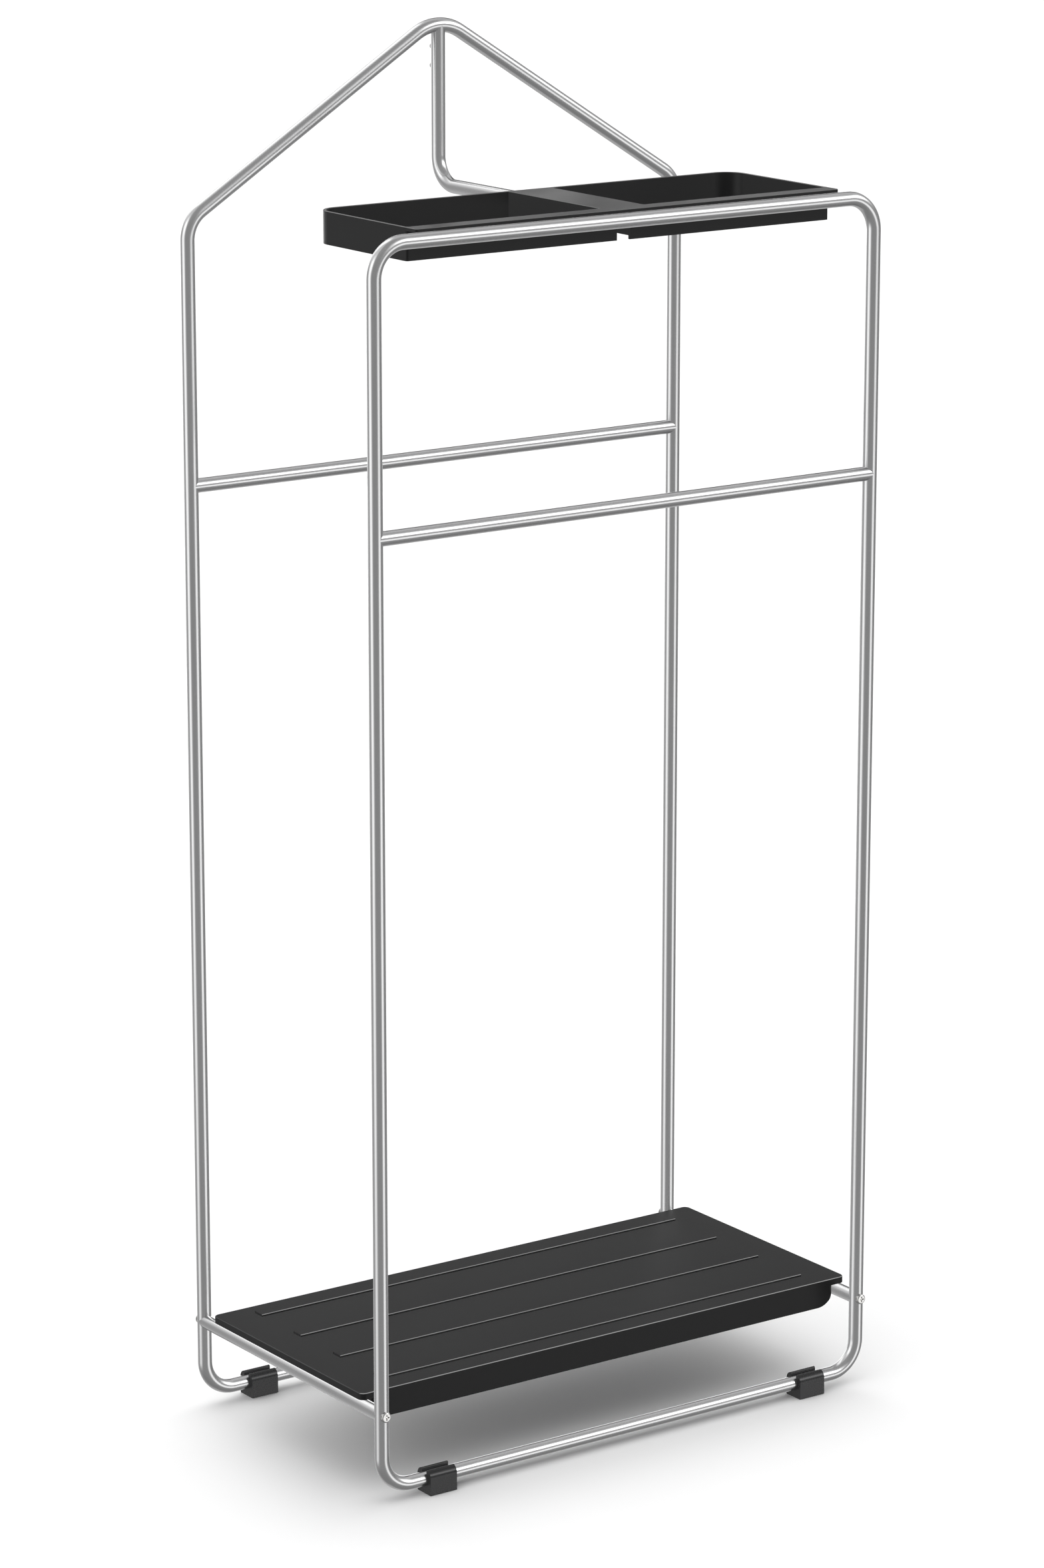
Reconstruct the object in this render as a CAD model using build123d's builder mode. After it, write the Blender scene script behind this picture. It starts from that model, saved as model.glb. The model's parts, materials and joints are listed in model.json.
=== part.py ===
from build123d import *
import os
from math import cos, radians, sqrt, tan

os.makedirs("parts", exist_ok=True)

# Sizes are in millimetres. The stand faces -Y, +X is its right, +Z is up,
# and the origin lies on the floor midway between the two frames.

# Tube frame, measured between tube axes
frame_width = 450.0
frame_depth = 250.0
tube_diameter = 11.0
tube_wall = 1.0
bottom_rail_height = 11.4
side_tube_height = 70.2
crossbar_height = 731.5
top_rail_height = 942.0
apex_height = 1062.6
gable_angle = 31.7
corner_bend_radius = 25.0
apex_bend_radius = 38.0
support_bend_radius = 22.0
weld_gap = 0.1

# Fasteners that join the two frames
side_screw_diameter = 4.0
side_screw_head_diameter = 8.0
side_screw_head_height = 1.7
side_screw_grip = 12.0
side_plug_length = 16.0
side_plug_setback = 0.5
apex_screw_diameter = 3.5
apex_screw_head_diameter = 5.6
apex_screw_head_height = 2.4
apex_screw_grip = 6.5
apex_screw_drops = (16.4, 31.0)
apex_spigot_length = 40.0
screw_hole_clearance = 0.2
thread_clearance = 0.03
plug_clearance = 0.05
screw_rim_radius = 1.0
recess_width = 1.1
recess_span = 0.56
recess_depth = 1.2

# Clip feet on the bottom rails
foot_length = 23.8
foot_wall = 3.35
foot_crown = 2.5
foot_mouth = 6.0
foot_inset = 49.7
foot_grip_clearance = 0.05
foot_shoulder_lap = 0.15
foot_tip_radius = 1.2
foot_edge_radius = 0.5

# Trays rest with this much air over the tubes that carry them
seat_clearance = 0.3

# Top tray
tray_side_inset = 35.0
tray_depth = 120.1
tray_rail_gap = 5.1
tray_drop = 21.7
tray_wall = 2.0
tray_flange_thickness = 2.6
tray_flange_overhang = 1.5
tray_rear_radius = 17.0
tray_front_radius = 2.0
tray_bridge_width = 39.0
tray_slot_clearance = 0.3
tray_rim_radius = 0.5
tray_floor_radius = 1.5

# Shoe tray
shoe_overhang = 4.7
shoe_end_gap = 14.5
shoe_rim_height = 5.4
shoe_rim_wall = 1.5
shoe_sheet = 2.0
shoe_corner_radius = 5.0
shoe_rim_radius = 0.9
apron_drop = 21.9
apron_side_gap = 0.8
apron_wall = 2.0
apron_edge_radius = 5.0
apron_corner_radius = 16.0
apron_return = 20.0
rib_count = 4
rib_pitch = 55.5
rib_front_offset = 18.5
rib_depth = 10.5
rib_height = 1.8
rib_edge_radius = 0.8
rib_end_margin = 29.7

# Worked out from the sizes above
tube_radius = tube_diameter / 2
bore_radius = tube_radius - tube_wall
cope_radius = tube_radius + weld_gap
plug_radius = bore_radius - plug_clearance
half_width = frame_width / 2
half_depth = frame_depth / 2
gable_slope = tan(radians(gable_angle))
gable_point_height = apex_height + apex_bend_radius * (1 / cos(radians(gable_angle)) - 1)
shoulder_height = gable_point_height - half_width * gable_slope
side_screw_hole = side_screw_diameter / 2 + screw_hole_clearance
side_screw_thread = side_screw_diameter / 2 + thread_clearance
apex_screw_hole = apex_screw_diameter / 2 + screw_hole_clearance
apex_screw_thread = apex_screw_diameter / 2 + thread_clearance
side_screw_length = tube_diameter + side_plug_setback + side_screw_grip
apex_screw_length = tube_wall + plug_clearance + apex_screw_grip
apex_screw_heights = [apex_height - drop for drop in apex_screw_drops]
sides = {"left": -1, "right": 1}
ends = {"front": -1, "rear": 1}
joint_margin = 2 * tube_diameter


def write(piece, name):
    """Label a finished piece and write it as its own file."""
    piece.part.label = name
    export_step(piece.part, f"parts/{name}.step")


def sweep_round(route, radius, mode=Mode.ADD):
    """Sweep a round section along a route, inside the part that is being built."""
    with BuildSketch(Plane(origin=route.line @ 0, z_dir=route.line % 0)) as section:
        Circle(radius)
    sweep(section.sketch, path=route.wires()[0], mode=mode)


def end_plane(side, end, reach=0.0):
    """Plane across a side tube's axis, facing out of the stand, at an upright's outer crown."""
    crown = half_depth + tube_radius - reach
    return Plane(origin=(side * half_width, end * crown, side_tube_height), z_dir=(0, end, 0))


def apex_plane(height):
    """Plane facing the rear at the crown of the tray support's upright run."""
    return Plane(origin=(0, half_depth + tube_radius, height), z_dir=(0, 1, 0))


def cut_apex_bend(radius):
    """Cut away what the rear frame's apex bend takes up."""
    with BuildLine(Plane.XZ.offset(-half_depth)) as apex_bend:
        CenterArc(
            (0, apex_height - apex_bend_radius),
            apex_bend_radius,
            90 - gable_angle,
            2 * gable_angle,
        )
    sweep_round(apex_bend, radius, Mode.SUBTRACT)


def pan_head_screw(seat, diameter, length, head_diameter, head_height):
    """Cross-recessed pan head screw: its head saddles an upright tube, its shank goes through it."""
    head_radius = head_diameter / 2
    rim_height = head_height - screw_rim_radius
    rim_inside = head_radius - screw_rim_radius
    saddle_drop = tube_radius - sqrt(tube_radius**2 - head_radius**2)
    with BuildSketch(Plane(seat.origin, x_dir=seat.x_dir, z_dir=-seat.y_dir)) as profile:
        with BuildLine():
            Polyline(
                (rim_inside, head_height),
                (0, head_height),
                (0, -saddle_drop),
                (head_radius, -saddle_drop),
                (head_radius, rim_height),
            )
            TangentArc((head_radius, rim_height), (rim_inside, head_height), tangent=(0, 1))
        make_face()
    revolve(profile.sketch, axis=Axis(seat.origin, seat.z_dir))
    with Locations(seat.origin - seat.z_dir * tube_radius):
        Cylinder(cope_radius, 2 * head_diameter, mode=Mode.SUBTRACT)
    recess_floor = head_height - recess_depth
    with BuildSketch(seat.offset(recess_floor)) as shank:
        Circle(diameter / 2)
    extrude(shank.sketch, amount=-recess_floor - length)
    recess_length = head_diameter * recess_span
    with BuildSketch(seat.offset(head_height)) as recess:
        Rectangle(recess_length, recess_width)
        Rectangle(recess_width, recess_length)
    extrude(recess.sketch, amount=-recess_depth, mode=Mode.SUBTRACT)


# Front frame: one tube bent into a closed rounded rectangle
with BuildPart() as front_frame_tube:
    with BuildLine(Plane.XZ.offset(half_depth)) as front_route:
        FilletPolyline(
            (-half_width, bottom_rail_height),
            (half_width, bottom_rail_height),
            (half_width, top_rail_height),
            (-half_width, top_rail_height),
            radius=corner_bend_radius,
            close=True,
        )
    sweep_round(front_route, tube_radius)
    sweep_round(front_route, bore_radius, Mode.SUBTRACT)
    for side in sides.values():
        with Locations(end_plane(side, ends["front"])):
            Hole(side_screw_hole, depth=tube_diameter)
write(front_frame_tube, "front_frame_tube")

# Rear frame: one tube bent into a closed house shape, the gable serving as the jacket hanger
with BuildPart() as rear_frame_tube:
    with BuildLine(Plane.XZ.offset(-half_depth)) as rear_route:
        FilletPolyline(
            (-half_width, bottom_rail_height),
            (half_width, bottom_rail_height),
            (half_width, shoulder_height),
            (0, gable_point_height),
            (-half_width, shoulder_height),
            radius=[
                corner_bend_radius,
                corner_bend_radius,
                corner_bend_radius,
                apex_bend_radius,
                corner_bend_radius,
            ],
            close=True,
        )
    sweep_round(rear_route, tube_radius)
    sweep_round(rear_route, bore_radius, Mode.SUBTRACT)
    for side in sides.values():
        with Locations(end_plane(side, ends["rear"])):
            Hole(side_screw_hole, depth=tube_diameter)
write(rear_frame_tube, "rear_frame_tube")

# Trouser bars across both frames, their ends coped to the uprights and welded
for end_name, end in ends.items():
    frame_y = end * half_depth
    with BuildPart() as crossbar:
        with BuildSketch(Plane.YZ.offset(-half_width)):
            with Locations((frame_y, crossbar_height)):
                Circle(tube_radius)
                Circle(bore_radius, mode=Mode.SUBTRACT)
        extrude(amount=frame_width)
        for side in sides.values():
            with Locations((side * half_width, frame_y, crossbar_height)):
                Cylinder(cope_radius, joint_margin, mode=Mode.SUBTRACT)
    write(crossbar, f"{end_name}_crossbar")

# Tray support: from under the apex down, round a bend and forward to the front top rail
with BuildPart() as tray_support_tube:
    with BuildLine(Plane.YZ) as support_route:
        FilletPolyline(
            (half_depth, apex_height),
            (half_depth, top_rail_height),
            (-half_depth, top_rail_height),
            radius=support_bend_radius,
        )
    sweep_round(support_route, tube_radius)
    sweep_round(support_route, bore_radius, Mode.SUBTRACT)
    with Locations((0, -half_depth, top_rail_height)):
        Cylinder(cope_radius, joint_margin, rotation=(0, 90, 0), mode=Mode.SUBTRACT)
    cut_apex_bend(cope_radius)
    for height in apex_screw_heights:
        with Locations(apex_plane(height)):
            Hole(apex_screw_hole, depth=tube_radius)
write(tray_support_tube, "tray_support_tube")

# Spigot welded under the apex, held in the tray support by two screws from the rear
with BuildPart() as apex_spigot:
    with BuildSketch(Plane.XY.offset(apex_height)):
        with Locations((0, half_depth)):
            Circle(plug_radius)
    extrude(amount=-apex_spigot_length)
    cut_apex_bend(cope_radius)
    for height in apex_screw_heights:
        with Locations(apex_plane(height)):
            Hole(apex_screw_thread, depth=tube_diameter)
write(apex_spigot, "apex_spigot")

for place, height in zip(("upper", "lower"), apex_screw_heights):
    with BuildPart() as apex_screw:
        pan_head_screw(
            apex_plane(height),
            apex_screw_diameter,
            apex_screw_length,
            apex_screw_head_diameter,
            apex_screw_head_height,
        )
    write(apex_screw, f"{place}_apex_screw")

# Side tubes carry the shoe tray; a threaded plug in each end takes a screw through the upright
for side_name, side in sides.items():
    with BuildPart() as side_tube:
        with BuildSketch(Plane.XZ.offset(-half_depth)):
            with Locations((side * half_width, side_tube_height)):
                Circle(tube_radius)
                Circle(bore_radius, mode=Mode.SUBTRACT)
        extrude(amount=frame_depth)
        for end in ends.values():
            with Locations((side * half_width, end * half_depth, side_tube_height)):
                Cylinder(cope_radius, joint_margin, mode=Mode.SUBTRACT)
    write(side_tube, f"{side_name}_side_tube")

    for end_name, end in ends.items():
        with BuildPart() as side_plug:
            with BuildSketch(end_plane(side, end, tube_diameter + side_plug_setback)):
                Circle(plug_radius)
                Circle(side_screw_thread, mode=Mode.SUBTRACT)
            extrude(amount=-side_plug_length)
        write(side_plug, f"{end_name}_{side_name}_plug")

        with BuildPart() as side_screw:
            pan_head_screw(
                end_plane(side, end),
                side_screw_diameter,
                side_screw_length,
                side_screw_head_diameter,
                side_screw_head_height,
            )
        write(side_screw, f"{end_name}_{side_name}_screw")

# Clip feet: flat under the rail, open at the top so that they snap over it
foot_width = tube_diameter + 2 * foot_wall
foot_height = bottom_rail_height + tube_radius + foot_crown
foot_bore = tube_radius + foot_grip_clearance
foot_jaw = (foot_width - foot_mouth) / 2
foot_shoulder_radius = foot_jaw + foot_shoulder_lap
for end_name, end in ends.items():
    frame_y = end * half_depth
    for side_name, side in sides.items():
        foot_x = side * (half_width - foot_inset)
        with BuildPart() as foot:
            with BuildSketch(Plane.YZ.offset(foot_x - foot_length / 2)) as foot_profile:
                with Locations((frame_y, foot_height / 2)):
                    Rectangle(foot_width, foot_height)
                fillet(foot_profile.vertices().group_by(Axis.Y)[0], foot_edge_radius)
                fillet(foot_profile.vertices().group_by(Axis.Y)[-1], foot_shoulder_radius)
                with Locations((frame_y, foot_height)):
                    Rectangle(foot_mouth, foot_height, mode=Mode.SUBTRACT)
                with Locations((frame_y, bottom_rail_height)):
                    Circle(foot_bore, mode=Mode.SUBTRACT)
                fillet(foot_profile.vertices().group_by(Axis.Y)[-1], foot_tip_radius)
            extrude(amount=foot_length)
        write(foot, f"{end_name}_{side_name}_foot")

# Top tray: hangs by its front flange on the top rail and by its bridge on the tray support
tray_seat = top_rail_height + tube_radius + seat_clearance
tray_top = tray_seat + tray_flange_thickness
tray_bottom = tray_seat - tray_drop
tray_half_width = half_width - tray_side_inset
tray_front = -half_depth + tube_radius + tray_rail_gap
tray_middle = tray_front + tray_depth / 2
tray_flange_depth = tray_front + half_depth + tray_flange_overhang
tray_slot_width = tube_diameter + 2 * tray_slot_clearance
pocket_depth = tray_depth - 2 * tray_wall
pocket_width = tray_half_width - tray_wall - tray_bridge_width / 2
pocket_middle = tray_bridge_width / 2 + pocket_width / 2
channel_width = tray_bridge_width - 2 * tray_wall
with BuildPart() as top_tray:
    with BuildSketch(Plane.XY.offset(tray_bottom)) as tray_plan:
        with Locations((0, tray_middle)):
            Rectangle(2 * tray_half_width, tray_depth)
        fillet(tray_plan.vertices().group_by(Axis.Y)[-1], tray_rear_radius)
        fillet(tray_plan.vertices().group_by(Axis.Y)[0], tray_front_radius)
    extrude(amount=tray_top - tray_bottom)
    with BuildSketch(Plane.XY.offset(tray_seat)) as flange_plan:
        with Locations((0, tray_front - tray_flange_depth)):
            Rectangle(
                2 * tray_half_width,
                tray_flange_depth + tray_front_radius,
                align=(Align.CENTER, Align.MIN),
            )
        fillet(flange_plan.vertices().group_by(Axis.Y)[0], tray_front_radius)
    extrude(amount=tray_flange_thickness)
    for side in sides.values():
        with BuildSketch(Plane.XY.offset(tray_bottom + tray_wall)) as pocket_plan:
            with Locations((side * pocket_middle, tray_middle)):
                Rectangle(pocket_width, pocket_depth)
            inner_corner, outer_corner = (
                pocket_plan.vertices().group_by(Axis.Y)[-1].sort_by_distance((0, 0))
            )
            fillet(outer_corner, tray_rear_radius - tray_wall)
            fillet(inner_corner, tray_front_radius)
            fillet(pocket_plan.vertices().group_by(Axis.Y)[0], tray_front_radius)
        extrude(amount=tray_top - tray_bottom, mode=Mode.SUBTRACT)
    pocket_floors = top_tray.faces().filter_by(Plane.XY).group_by(Axis.Z)[1]
    fillet(pocket_floors.edges(), tray_floor_radius)
    with BuildSketch(Plane.XY.offset(tray_bottom)):
        with Locations((0, tray_middle)):
            Rectangle(channel_width, pocket_depth)
            Rectangle(tray_slot_width, tray_depth)
    extrude(amount=tray_drop, mode=Mode.SUBTRACT)
    rim = top_tray.faces().filter_by(Plane.XY).group_by(Axis.Z)[-1]
    fillet(rim.edges(), tray_rim_radius)
write(top_tray, "top_tray")

# Shoe tray: its rim lies along the side tubes, its apron drops between them
shoe_half_width = half_width + shoe_overhang
shoe_half_depth = half_depth - tube_radius - shoe_end_gap
shoe_bottom = side_tube_height + tube_radius + seat_clearance
shoe_top = shoe_bottom + shoe_rim_height
apron_bottom = shoe_top - apron_drop
apron_half_width = half_width - tube_radius - apron_side_gap
rib_half_length = shoe_half_width - rib_end_margin
with BuildPart() as shoe_tray:
    with BuildSketch(Plane.XY.offset(shoe_bottom)):
        RectangleRounded(2 * shoe_half_width, 2 * shoe_half_depth, shoe_corner_radius)
    extrude(amount=shoe_rim_height)
    fillet(shoe_tray.faces().sort_by(Axis.Z)[-1].edges(), shoe_rim_radius)
    with BuildSketch(Plane.XY.offset(shoe_bottom)):
        RectangleRounded(
            2 * (shoe_half_width - shoe_rim_wall),
            2 * (shoe_half_depth - shoe_rim_wall),
            shoe_corner_radius - shoe_rim_wall,
        )
    extrude(amount=shoe_rim_height - shoe_sheet, mode=Mode.SUBTRACT)
    for index in range(rib_count):
        rib_front = -shoe_half_depth + rib_front_offset + index * rib_pitch
        with BuildSketch(Plane.YZ.offset(-rib_half_length)) as rib_profile:
            with Locations((rib_front, shoe_top - shoe_sheet / 2)):
                Rectangle(rib_depth, shoe_sheet / 2 + rib_height, align=Align.MIN)
            fillet(rib_profile.vertices().group_by(Axis.Y)[-1].sort_by(Axis.X)[0], rib_edge_radius)
        extrude(amount=2 * rib_half_length)
    with BuildSketch(Plane.XY.offset(apron_bottom)) as apron_plan:
        with Locations((0, -shoe_half_depth)):
            Rectangle(2 * apron_half_width, apron_return, align=(Align.CENTER, Align.MIN))
        fillet(apron_plan.vertices().group_by(Axis.Y)[0], apron_edge_radius)
    extrude(amount=apron_drop - shoe_sheet / 2)
    with BuildSketch(Plane.XY.offset(apron_bottom)) as apron_inside:
        with Locations((0, -shoe_half_depth + apron_wall)):
            Rectangle(
                2 * (apron_half_width - apron_wall),
                apron_return,
                align=(Align.CENTER, Align.MIN),
            )
        fillet(apron_inside.vertices().group_by(Axis.Y)[0], apron_edge_radius - apron_wall)
    extrude(amount=apron_drop - shoe_sheet, mode=Mode.SUBTRACT)
    with BuildSketch(Plane.XZ.offset(shoe_half_depth)):
        for side in sides.values():
            with Locations((side * apron_half_width, apron_bottom)):
                Rectangle(2 * apron_corner_radius, 2 * apron_corner_radius)
            with Locations(
                (side * (apron_half_width - apron_corner_radius), apron_bottom + apron_corner_radius)
            ):
                Circle(apron_corner_radius, mode=Mode.SUBTRACT)
    extrude(amount=-apron_return, mode=Mode.SUBTRACT)
write(shoe_tray, "shoe_tray")
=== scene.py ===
import json
import math

import bmesh
import bpy
from mathutils import Matrix, Vector

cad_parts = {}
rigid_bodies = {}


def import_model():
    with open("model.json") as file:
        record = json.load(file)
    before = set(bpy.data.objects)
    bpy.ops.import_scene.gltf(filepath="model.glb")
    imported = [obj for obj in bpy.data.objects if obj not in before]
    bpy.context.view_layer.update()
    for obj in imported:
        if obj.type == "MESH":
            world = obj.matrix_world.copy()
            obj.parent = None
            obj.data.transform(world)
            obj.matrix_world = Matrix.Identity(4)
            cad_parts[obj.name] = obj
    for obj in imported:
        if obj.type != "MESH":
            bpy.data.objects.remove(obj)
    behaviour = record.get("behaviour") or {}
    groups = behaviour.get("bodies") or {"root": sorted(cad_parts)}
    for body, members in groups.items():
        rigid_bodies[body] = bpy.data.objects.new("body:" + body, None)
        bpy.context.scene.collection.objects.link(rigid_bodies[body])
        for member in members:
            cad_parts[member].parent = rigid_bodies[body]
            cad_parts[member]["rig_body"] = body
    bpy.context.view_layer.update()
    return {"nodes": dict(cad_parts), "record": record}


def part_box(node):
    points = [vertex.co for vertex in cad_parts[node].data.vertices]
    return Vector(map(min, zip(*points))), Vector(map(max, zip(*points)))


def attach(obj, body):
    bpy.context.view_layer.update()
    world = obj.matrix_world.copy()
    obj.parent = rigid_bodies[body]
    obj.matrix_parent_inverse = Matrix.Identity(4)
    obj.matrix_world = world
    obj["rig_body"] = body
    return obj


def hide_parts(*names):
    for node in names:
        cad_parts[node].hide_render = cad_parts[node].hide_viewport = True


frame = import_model()
slot_of = {part["node"]: part["material_slot"] for part in frame["record"]["subparts"]}

# The stand's sizes in metres: what the frame gives, then the bends, which no box shows
bar_low, bar_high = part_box("front_crossbar")
front_low, front_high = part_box("front_frame_tube")
rear_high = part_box("rear_frame_tube")[1]
side_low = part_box("left_side_tube")[0]
TUBE_RADIUS = (bar_high.z - bar_low.z) / 2
HALF_WIDTH = front_high.x - TUBE_RADIUS
HALF_DEPTH = rear_high.y - TUBE_RADIUS
BOTTOM_RAIL_HEIGHT = front_low.z + TUBE_RADIUS
TOP_RAIL_HEIGHT = front_high.z - TUBE_RADIUS
APEX_HEIGHT = rear_high.z - TUBE_RADIUS
CROSSBAR_HEIGHT = bar_low.z + TUBE_RADIUS
SIDE_TUBE_HEIGHT = side_low.z + TUBE_RADIUS
CORNER_BEND = 0.025
APEX_BEND = 0.038
SUPPORT_BEND = 0.022
GABLE_ANGLE = math.radians(31.7)

# How finely the tubes are drawn, and how close the ends of a closed tube have to meet
TUBE_SIDES = 48
BEND_STEP = math.radians(4)
MEETING_DISTANCE = TUBE_RADIUS / 1000

# Shares of a turn round a tube, on either side of the seam in its UV map
BEFORE_SEAM = 0.75
AFTER_SEAM = 0.25

# Heights above which edges get a painted highlight: a little under each tray's top, and one that no
# foot reaches
TOP_TRAY_HIGHLIGHT_DEPTH = 0.0014
SHOE_TRAY_HIGHLIGHT_DEPTH = 0.0037
TOP_TRAY_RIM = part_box("top_tray")[1].z - TOP_TRAY_HIGHLIGHT_DEPTH
SHOE_TRAY_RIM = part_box("shoe_tray")[1].z - SHOE_TRAY_HIGHLIGHT_DEPTH
ABOVE_FEET = APEX_HEIGHT

# The floor: half its side, and how far it lies under the feet
FLOOR_REACH = 60.0
FLOOR_DROP = 0.0002

# The photograph's camera: where it stood, which way it looked, its lens and what it takes in
CAMERA_PLACE = (-2.2023, -3.1207, 1.4479)
CAMERA_YAW = math.radians(35.09)
CAMERA_PITCH = math.radians(14.01)
CAMERA_LENS = 118.09
CAMERA_SENSOR = 36.0
CAMERA_NEAR = 0.05
CAMERA_FAR = 200.0

QUARTER_TURN = math.pi / 2
IN_DEGREES = 180 / math.pi
X = Vector((1, 0, 0))
Y = Vector((0, 1, 0))
Z = Vector((0, 0, 1))


# Shader expressions

class Value:
    """A number in a node tree. Python operators on it add Math nodes."""

    def __init__(self, tree, socket):
        self.tree = tree
        self.socket = socket

    def __add__(self, other):
        return self.tree.math("ADD", self, other)

    def __radd__(self, other):
        return self.tree.math("ADD", other, self)

    def __sub__(self, other):
        return self.tree.math("SUBTRACT", self, other)

    def __rsub__(self, other):
        return self.tree.math("SUBTRACT", other, self)

    def __mul__(self, other):
        return self.tree.math("MULTIPLY", self, other)

    def __rmul__(self, other):
        return self.tree.math("MULTIPLY", other, self)

    def rise(self, low, high):
        """0 below low, 1 above high, and a smooth step between them."""
        settings = {"interpolation_type": "SMOOTHSTEP"}
        ends = {"Value": self, "From Min": low, "From Max": high}
        return self.tree.add("ShaderNodeMapRange", settings, ends).value("Result")

    def window(self, low, high, soft):
        """1 between low and high, with a smooth step of twice soft centred on each of them."""
        return self.rise(low - soft, low + soft) * (1 - self.rise(high - soft, high + soft))


class Node:
    """A shader node whose outputs are taken by name."""

    def __init__(self, tree, node):
        self.tree = tree
        self.node = node

    def __getitem__(self, name):
        return self.node.outputs[name]

    def value(self, name=0):
        return Value(self.tree, self.node.outputs[name])


class Tree:
    """A node tree that is being filled."""

    def __init__(self, owner):
        owner.use_nodes = True
        self.nodes = owner.node_tree.nodes
        self.links = owner.node_tree.links
        self.nodes.clear()

    def add(self, kind, settings=None, inputs=None):
        """Adds a node: its settings first, then the value or the link of each socket."""
        node = self.nodes.new(kind)
        for name, setting in (settings or {}).items():
            setattr(node, name, setting)
        for name, source in (inputs or {}).items():
            socket = node.inputs[name]
            if isinstance(source, Value):
                self.links.new(source.socket, socket)
            elif isinstance(source, bpy.types.NodeSocket):
                self.links.new(source, socket)
            elif socket.type == "RGBA":
                socket.default_value = (*source, 1.0)
            else:
                socket.default_value = source
        return Node(self, node)

    def math(self, operation, *terms):
        settings = {"operation": operation}
        return self.add("ShaderNodeMath", settings, dict(enumerate(terms))).value()

    def coordinates(self, kind="Object"):
        return self.add("ShaderNodeTexCoord")[kind]

    def parts(self, vector):
        """The vector's X, Y and Z."""
        return self.add("ShaderNodeSeparateXYZ", None, {"Vector": vector})

    def stretched(self, vector, scale):
        """The vector with each of its parts multiplied by its own scale."""
        settings = {"operation": "MULTIPLY"}
        return self.add("ShaderNodeVectorMath", settings, {0: vector, 1: scale})["Vector"]

    def part_along(self, vector, axis):
        """How far the vector reaches along an axis."""
        settings = {"operation": "DOT_PRODUCT"}
        return self.add("ShaderNodeVectorMath", settings, {0: vector, 1: axis}).value("Value")

    def noise(self, vector, scale, detail=2.0, roughness=0.5):
        sockets = {"Vector": vector, "Scale": scale, "Detail": detail, "Roughness": roughness}
        return self.add("ShaderNodeTexNoise", None, sockets).value(0)

    def between(self, share, first, second):
        """A colour between two colours."""
        settings = {"data_type": "RGBA"}
        sockets = {"Factor": share, 6: first, 7: second}
        return self.add("ShaderNodeMix", settings, sockets)[2]

    def bump(self, height, strength, distance):
        sockets = {"Height": height, "Strength": strength, "Distance": distance}
        return self.add("ShaderNodeBump", None, sockets)["Normal"]


def finish_surface(tree, sockets):
    """Ends a material's tree in one principled surface."""
    surface = tree.add("ShaderNodeBsdfPrincipled", None, sockets)
    tree.add("ShaderNodeOutputMaterial", None, {"Surface": surface["BSDF"]})


# Finishes

def satin_tube_steel():
    """Stainless tube: a fine satin pattern over the surface, soft smudges, bright reflections."""
    dark = (0.57, 0.57, 0.575)
    light = (0.67, 0.67, 0.672)
    satin_scale = (26.0, 26.0, 30.0)
    smudge_scale = 22.0
    material = bpy.data.materials.new("satin_tube_steel")
    tree = Tree(material)
    unrolled = tree.parts(tree.coordinates("UV"))
    turn = unrolled.value("X") * (2 * math.pi)
    ring = {"X": tree.math("COSINE", turn), "Y": tree.math("SINE", turn), "Z": unrolled.value("Y")}
    wrapped = tree.add("ShaderNodeCombineXYZ", None, ring)["Vector"]
    satin = tree.noise(tree.stretched(wrapped, satin_scale), 1.0, detail=3.0, roughness=0.65)
    smudges = tree.noise(tree.coordinates(), smudge_scale, detail=3.0)
    finish_surface(tree, {
        "Base Color": tree.between(satin, dark, light),
        "Metallic": 1.0,
        "Roughness": 0.16 + 0.07 * satin + 0.06 * smudges,
        "Normal": tree.bump(satin, strength=0.03, distance=0.0002),
    })
    return material


def nickel_screw():
    """Bright nickel plate over a pressed head, a little uneven."""
    dark = (0.52, 0.515, 0.505)
    light = (0.64, 0.635, 0.625)
    grain_scale = 1800.0
    material = bpy.data.materials.new("nickel_screw")
    tree = Tree(material)
    grain = tree.noise(tree.coordinates(), grain_scale)
    finish_surface(tree, {
        "Base Color": tree.between(grain, dark, light),
        "Metallic": 1.0,
        "Roughness": 0.1 + 0.1 * grain,
        "Normal": tree.bump(grain, strength=0.05, distance=0.0002),
    })
    return material


def turned_insert_steel():
    """Plain turned steel of the plugs and the spigot, inside the tubes."""
    dark = (0.4, 0.4, 0.4)
    light = (0.52, 0.52, 0.51)
    groove_scale = (300.0, 3000.0, 3000.0)
    material = bpy.data.materials.new("turned_insert_steel")
    tree = Tree(material)
    grooves = tree.noise(tree.stretched(tree.coordinates(), groove_scale), 1.0)
    finish_surface(tree, {
        "Base Color": tree.between(grooves, dark, light),
        "Metallic": 1.0,
        "Roughness": 0.3 + 0.15 * grooves,
        "Normal": tree.bump(grooves, strength=0.1, distance=0.0002),
    })
    return material


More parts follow.
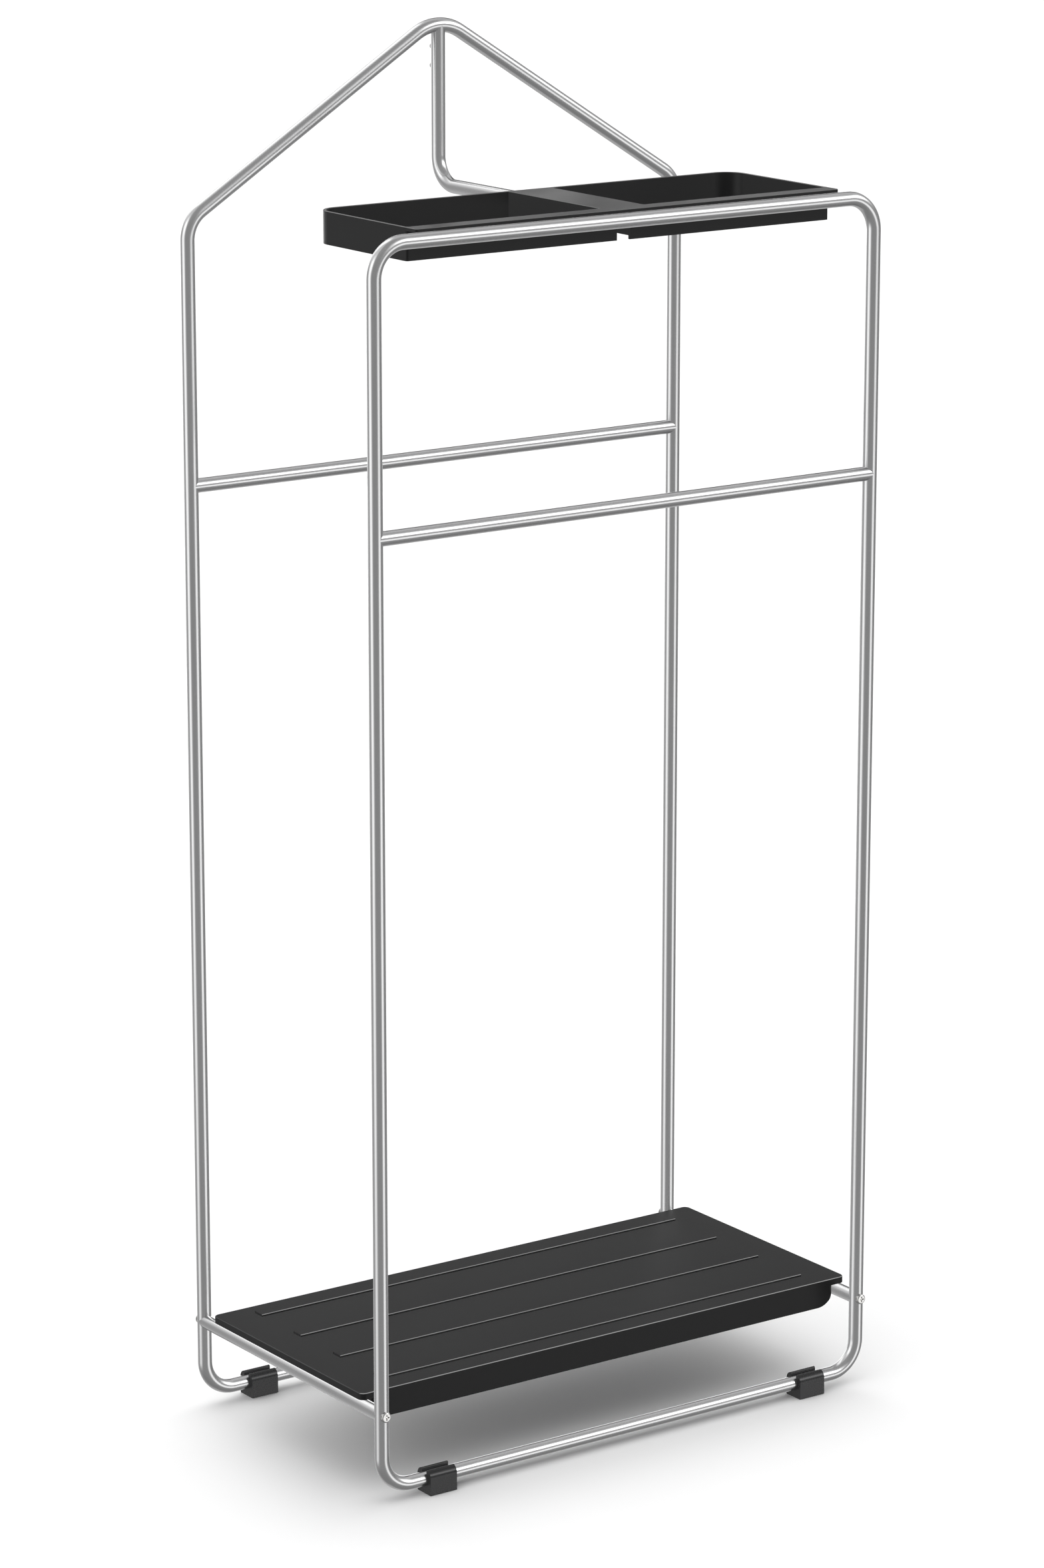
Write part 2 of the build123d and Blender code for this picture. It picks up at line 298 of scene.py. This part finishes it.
def satin_black_plastic(name, dark, light, edge_highlight, gloss, shine, rim_height, side_highlight_share):
    """Moulded black plastic: fine spark-eroded grain, cloudy sheen, painted highlight on rounded
    edges.

    Edges above rim_height get the painted highlight, a grey colour, in full where they face forwards,
    by the share in the last argument where they face sideways, and not at all where they face the
    rear.
    """
    grain_scale = 1700.0
    cloud_scale = 14.0
    highlight_noise_scale = 60.0
    rim_blend = 0.0005
    material = bpy.data.materials.new(name)
    tree = Tree(material)
    place = tree.coordinates()
    grain = tree.noise(place, grain_scale)
    clouds = tree.noise(place, cloud_scale, detail=3.0)
    height = tree.parts(place).value("Z")
    facing = tree.parts(tree.coordinates("Normal"))
    rounded = facing.value("Z").window(0.36, 0.92, 0.06)
    rearwards = facing.value("Y").rise(0.1, 0.3)
    forwards = 1 - facing.value("Y").rise(-0.5, -0.2)
    edge = rounded * (1 - rearwards) * (side_highlight_share + (1 - side_highlight_share) * forwards)
    rim = height.rise(rim_height - rim_blend, rim_height)
    # Painted highlight: a grey colour on the rounded edges that face forwards, broken up by noise
    painted_highlight = edge * rim * (0.7 + 0.6 * tree.noise(place, highlight_noise_scale, detail=3.0))
    plain = tree.between(0.6 * clouds + 0.4 * grain, dark, light)
    finish_surface(tree, {
        "Base Color": tree.between(painted_highlight, plain, edge_highlight),
        "Roughness": gloss + 0.1 * clouds + 0.06 * grain,
        "Specular IOR Level": shine,
        "Normal": tree.bump(grain, strength=0.12, distance=0.0001),
    })
    return material


# Pieces

def place_piece(bm, name, material, node):
    """Makes a mesh of bm that stands for a node of the frame and moves with its body."""
    mesh = bpy.data.meshes.new(name)
    bm.to_mesh(mesh)
    bm.free()
    mesh.materials.append(material)
    piece = bpy.data.objects.new(name, mesh)
    bpy.context.scene.collection.objects.link(piece)
    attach(piece, frame["nodes"][node]["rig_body"])
    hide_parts(node)


class Tube:
    """A round tube drawn along its route: straight runs are extruded, bends are spun."""

    def __init__(self, start, heading):
        self.bm = bmesh.new()
        self.around = self.bm.verts.layers.float.new("around")
        self.along = self.bm.verts.layers.float.new("along")
        self.at = Vector(start)
        self.heading = heading.copy()
        self.length = 0.0
        turn = heading.to_track_quat("Z", "Y").to_matrix().to_4x4()
        place = Matrix.Translation(start) @ turn
        made = bmesh.ops.create_circle(self.bm, segments=TUBE_SIDES, radius=TUBE_RADIUS, matrix=place)
        for index, vertex in enumerate(made["verts"]):
            vertex[self.around] = index / TUBE_SIDES
        self.start = self.bm.edges[:]
        self.tip = self.start

    def advance(self, made, length):
        """Takes the newest ring as the tube's tip, length further along."""
        self.length += length
        self.tip = [part for part in made if isinstance(part, bmesh.types.BMEdge)]
        for part in made:
            if isinstance(part, bmesh.types.BMVert):
                part[self.along] = self.length

    def run(self, length):
        """Carries the tube straight on."""
        made = bmesh.ops.extrude_edge_only(self.bm, edges=self.tip)["geom"]
        ring = [part for part in made if isinstance(part, bmesh.types.BMVert)]
        bmesh.ops.translate(self.bm, verts=ring, vec=self.heading * length)
        edges = dict.fromkeys(e for v in ring for e in v.link_edges if e.other_vert(v) in ring)
        self.advance(ring + list(edges), length)
        self.at += self.heading * length
        return self

    def bend(self, radius, angle, axis):
        """Turns the tube about an axis square to its heading, by the right-hand rule."""
        steps = math.ceil(angle / BEND_STEP)
        centre = self.at + axis.cross(self.heading) * radius
        for _ in range(steps):
            made = bmesh.ops.spin(
                self.bm, geom=self.tip, cent=centre, axis=axis, angle=angle / steps, steps=1
            )["geom_last"]
            self.advance(made, radius * angle / steps)
        turn = Matrix.Rotation(angle, 3, axis)
        self.at = centre + turn @ (self.at - centre)
        self.heading = turn @ self.heading
        return self

    def unwrap(self):
        """Writes turns round the tube and metres along it to the UV map."""
        layer = self.bm.loops.layers.uv.new("tube")
        for face in self.bm.faces:
            face.smooth = True
            late = max(v[self.around] for v in face.verts) > BEFORE_SEAM
            for loop in face.loops:
                around = loop.vert[self.around]
                if late and around < AFTER_SEAM:
                    around = 1.0
                loop[layer].uv = (around, loop.vert[self.along])

    def close_loop(self):
        """Joins the tip to the start."""
        self.unwrap()
        bmesh.ops.remove_doubles(self.bm, verts=self.bm.verts[:], dist=MEETING_DISTANCE)
        bmesh.ops.recalc_face_normals(self.bm, faces=self.bm.faces[:])
        return self.bm

    def cap_ends(self):
        """Closes both ends, which lie inside other tubes."""
        self.unwrap()
        for ring in (self.start, self.tip):
            bmesh.ops.contextual_create(self.bm, geom=ring)
            for edge in ring:
                edge.smooth = False
        bmesh.ops.recalc_face_normals(self.bm, faces=self.bm.faces[:])
        return self.bm


def front_frame():
    """The front frame's tube, a closed rounded rectangle."""
    width = 2 * (HALF_WIDTH - CORNER_BEND)
    height = TOP_RAIL_HEIGHT - BOTTOM_RAIL_HEIGHT - 2 * CORNER_BEND
    tube = Tube((0, -HALF_DEPTH, BOTTOM_RAIL_HEIGHT), X)
    for length in (width / 2, height, width, height):
        tube.run(length).bend(CORNER_BEND, QUARTER_TURN, -Y)
    return tube.run(width / 2).close_loop()


def rear_frame():
    """The rear frame's tube, closed, with the gable on top."""
    width = 2 * (HALF_WIDTH - CORNER_BEND)
    shoulder_turn = QUARTER_TURN - GABLE_ANGLE
    shoulder_take = CORNER_BEND * math.tan(shoulder_turn / 2)
    apex_take = APEX_BEND * math.tan(GABLE_ANGLE)
    gable_point = APEX_HEIGHT + APEX_BEND * (1 / math.cos(GABLE_ANGLE) - 1)
    shoulder = gable_point - HALF_WIDTH * math.tan(GABLE_ANGLE)
    upright = shoulder - shoulder_take - BOTTOM_RAIL_HEIGHT - CORNER_BEND
    gable = HALF_WIDTH / math.cos(GABLE_ANGLE) - shoulder_take - apex_take
    tube = Tube((0, HALF_DEPTH, BOTTOM_RAIL_HEIGHT), X)
    tube.run(width / 2).bend(CORNER_BEND, QUARTER_TURN, -Y)
    tube.run(upright).bend(CORNER_BEND, shoulder_turn, -Y)
    tube.run(gable).bend(APEX_BEND, 2 * GABLE_ANGLE, -Y)
    tube.run(gable).bend(CORNER_BEND, shoulder_turn, -Y)
    tube.run(upright).bend(CORNER_BEND, QUARTER_TURN, -Y)
    return tube.run(width / 2).close_loop()


def crossbar(y):
    """A trouser bar between the uprights of the frame at y."""
    return Tube((-HALF_WIDTH, y, CROSSBAR_HEIGHT), X).run(2 * HALF_WIDTH).cap_ends()


def side_tube(x):
    """The tube under the shoe tray's end at x, from the front frame to the rear one."""
    return Tube((x, -HALF_DEPTH, SIDE_TUBE_HEIGHT), Y).run(2 * HALF_DEPTH).cap_ends()


def tray_support():
    """The tube down from the gable's peak and forward to the front top rail."""
    tube = Tube((0, HALF_DEPTH, APEX_HEIGHT), -Z)
    tube.run(APEX_HEIGHT - TOP_RAIL_HEIGHT - SUPPORT_BEND)
    tube.bend(SUPPORT_BEND, QUARTER_TURN, -X)
    return tube.run(2 * HALF_DEPTH - SUPPORT_BEND).cap_ends()


# Stage

def soft_light():
    """The studio: soft boxes in a grey room for what shines, a pale dome for the rest.

    Angles are in degrees. The azimuth is 0 towards the camera and grows to the camera's right,
    and the height is 0 at the horizon.
    """
    world = bpy.data.worlds.new("studio")
    world.cycles.sampling_method = "NONE"
    bpy.context.scene.world = world
    tree = Tree(world)
    direction = tree.coordinates("Generated")
    sine = math.sin(CAMERA_YAW)
    cosine = math.cos(CAMERA_YAW)
    ahead = tree.part_along(direction, (-sine, -cosine, 0.0))
    right = tree.part_along(direction, (cosine, -sine, 0.0))
    up = tree.part_along(direction, (0.0, 0.0, 1.0))
    azimuth = tree.math("ARCTAN2", right, ahead) * IN_DEGREES
    height = tree.math("ARCSINE", up) * IN_DEGREES
    away = tree.math("ABSOLUTE", azimuth)

    def soft_box(strength, azimuths, heights):
        return strength * azimuth.window(*azimuths) * height.window(*heights)

    # What shines: a grey room with two darker places in it, and the boxes and cards
    room = 0.35 + 0.055 * height.rise(10, 60) - 0.06 * (1 - height.rise(-60, -30))
    room = room + 0.27 * away.rise(95, 140)
    dusk = (0.5 + 0.12 * azimuth.rise(-20, 20)) * away.rise(150, 168) * height.window(13, 32, 4)
    gap = 0.21 * azimuth.window(107, 158, 12) * (1 - height.rise(22, 36))
    key = soft_box(1.25, (49, 114, 17), (15, 42, 11))
    core = soft_box(4.2, (64, 104, 10), (20, 33, 5))
    bounce = soft_box(1.2, (50, 84, 10), (-25, -6, 3))
    fill = soft_box(1.25, (-86, -46, 15), (-25, 40, 15))
    rear_card = soft_box(1.1, (-163, -128, 10), (17, 77, 14))
    side_card = soft_box(0.4, (-128, -45, 10), (17, 77, 14))
    rear_left = 1 - azimuth.rise(-150, -120)
    rear_right = azimuth.rise(150, 175)
    horizon = 1.5 * (rear_left + rear_right) * height.window(-10, 8, 3)
    boxes = key + core + bounce + fill + rear_card + side_card + horizon
    shine = room - dusk - gap + boxes

    # The rest: an overhead dome, brighter behind, to the left and near the horizon
    behind = 2.2 * away.rise(115, 150) * height.window(14, 50, 8)
    beside = soft_box(1.3, (-90, -5, 15), (10, 46, 8))
    below = soft_box(2.5, (-130, 45, 10), (0, 12, 4))
    dome = 0.27 + 1.3 * height.rise(40, 65) + behind + beside + below

    # The camera itself sees plain white
    path = tree.add("ShaderNodeLightPath")
    seen = path.value("Is Camera Ray")
    mirrored = path.value("Is Glossy Ray")
    level = seen + (1 - seen) * (mirrored * shine + (1 - mirrored) * dome)
    light = tree.add("ShaderNodeBackground", None, {"Color": (1, 1, 1), "Strength": level})
    tree.add("ShaderNodeOutputWorld", None, {"Surface": light["Background"]})


def pale_floor():
    """A wide matt floor, just under the feet and hidden from reflections."""
    dark = (0.87, 0.87, 0.87)
    light = (0.9, 0.9, 0.9)
    cloud_scale = 2.0
    material = bpy.data.materials.new("pale_floor")
    tree = Tree(material)
    clouds = tree.noise(tree.coordinates(), cloud_scale)
    finish_surface(tree, {
        "Base Color": tree.between(clouds, dark, light),
        "Roughness": 0.9,
        "Specular IOR Level": 0.0,
    })
    bm = bmesh.new()
    bmesh.ops.create_grid(bm, x_segments=1, y_segments=1, size=FLOOR_REACH)
    bmesh.ops.translate(bm, verts=bm.verts[:], vec=(0, 0, -FLOOR_DROP))
    mesh = bpy.data.meshes.new("floor")
    bm.to_mesh(mesh)
    bm.free()
    mesh.materials.append(material)
    floor = bpy.data.objects.new("floor", mesh)
    floor.visible_glossy = False
    bpy.context.scene.collection.objects.link(floor)


def photograph_camera():
    """The photograph's camera, pitched down at the stand."""
    data = bpy.data.cameras.new("camera")
    data.sensor_width = CAMERA_SENSOR
    data.lens = CAMERA_LENS
    data.clip_start = CAMERA_NEAR
    data.clip_end = CAMERA_FAR
    camera = bpy.data.objects.new("camera", data)
    camera.location = CAMERA_PLACE
    camera.rotation_euler = (QUARTER_TURN - CAMERA_PITCH, 0.0, -CAMERA_YAW)
    bpy.context.scene.collection.objects.link(camera)
    bpy.context.scene.camera = camera


# The third colour given to each plastic is a painted highlight for its rounded edges; it never
# reaches the feet
finishes = {
    "tube_steel": satin_tube_steel(),
    "insert_steel": turned_insert_steel(),
    "screw_steel": nickel_screw(),
    "foot_black": satin_black_plastic(
        "foot_plastic",
        dark=(0.011, 0.011, 0.0115),
        light=(0.018, 0.018, 0.0185),
        edge_highlight=(0.06, 0.06, 0.06),
        gloss=0.18,
        shine=0.4,
        rim_height=ABOVE_FEET,
        side_highlight_share=1.0,
    ),
    "top_tray_black": satin_black_plastic(
        "top_tray_plastic",
        dark=(0.004, 0.004, 0.0043),
        light=(0.008, 0.008, 0.0083),
        edge_highlight=(0.16, 0.16, 0.16),
        gloss=0.3,
        shine=0.25,
        rim_height=TOP_TRAY_RIM,
        side_highlight_share=1.0,
    ),
    "shoe_tray_black": satin_black_plastic(
        "shoe_tray_plastic",
        dark=(0.006, 0.006, 0.0063),
        light=(0.011, 0.011, 0.0113),
        edge_highlight=(0.3, 0.3, 0.3),
        gloss=0.28,
        shine=0.17,
        rim_height=SHOE_TRAY_RIM,
        side_highlight_share=0.1,
    ),
}
for node, part in frame["nodes"].items():
    part.material_slots[0].material = finishes[slot_of[node]]

# The photograph shows no tray mirrored in the steel
for tray in ("top_tray", "shoe_tray"):
    frame["nodes"][tray].visible_glossy = False

tubes = {
    "front_frame_tube": front_frame(),
    "rear_frame_tube": rear_frame(),
    "front_crossbar": crossbar(-HALF_DEPTH),
    "rear_crossbar": crossbar(HALF_DEPTH),
    "left_side_tube": side_tube(-HALF_WIDTH),
    "right_side_tube": side_tube(HALF_WIDTH),
    "tray_support_tube": tray_support(),
}
for node, bm in tubes.items():
    place_piece(bm, node + "_skin", finishes["tube_steel"], node)

bpy.context.scene.view_settings.view_transform = "Standard"
soft_light()
pale_floor()
photograph_camera()
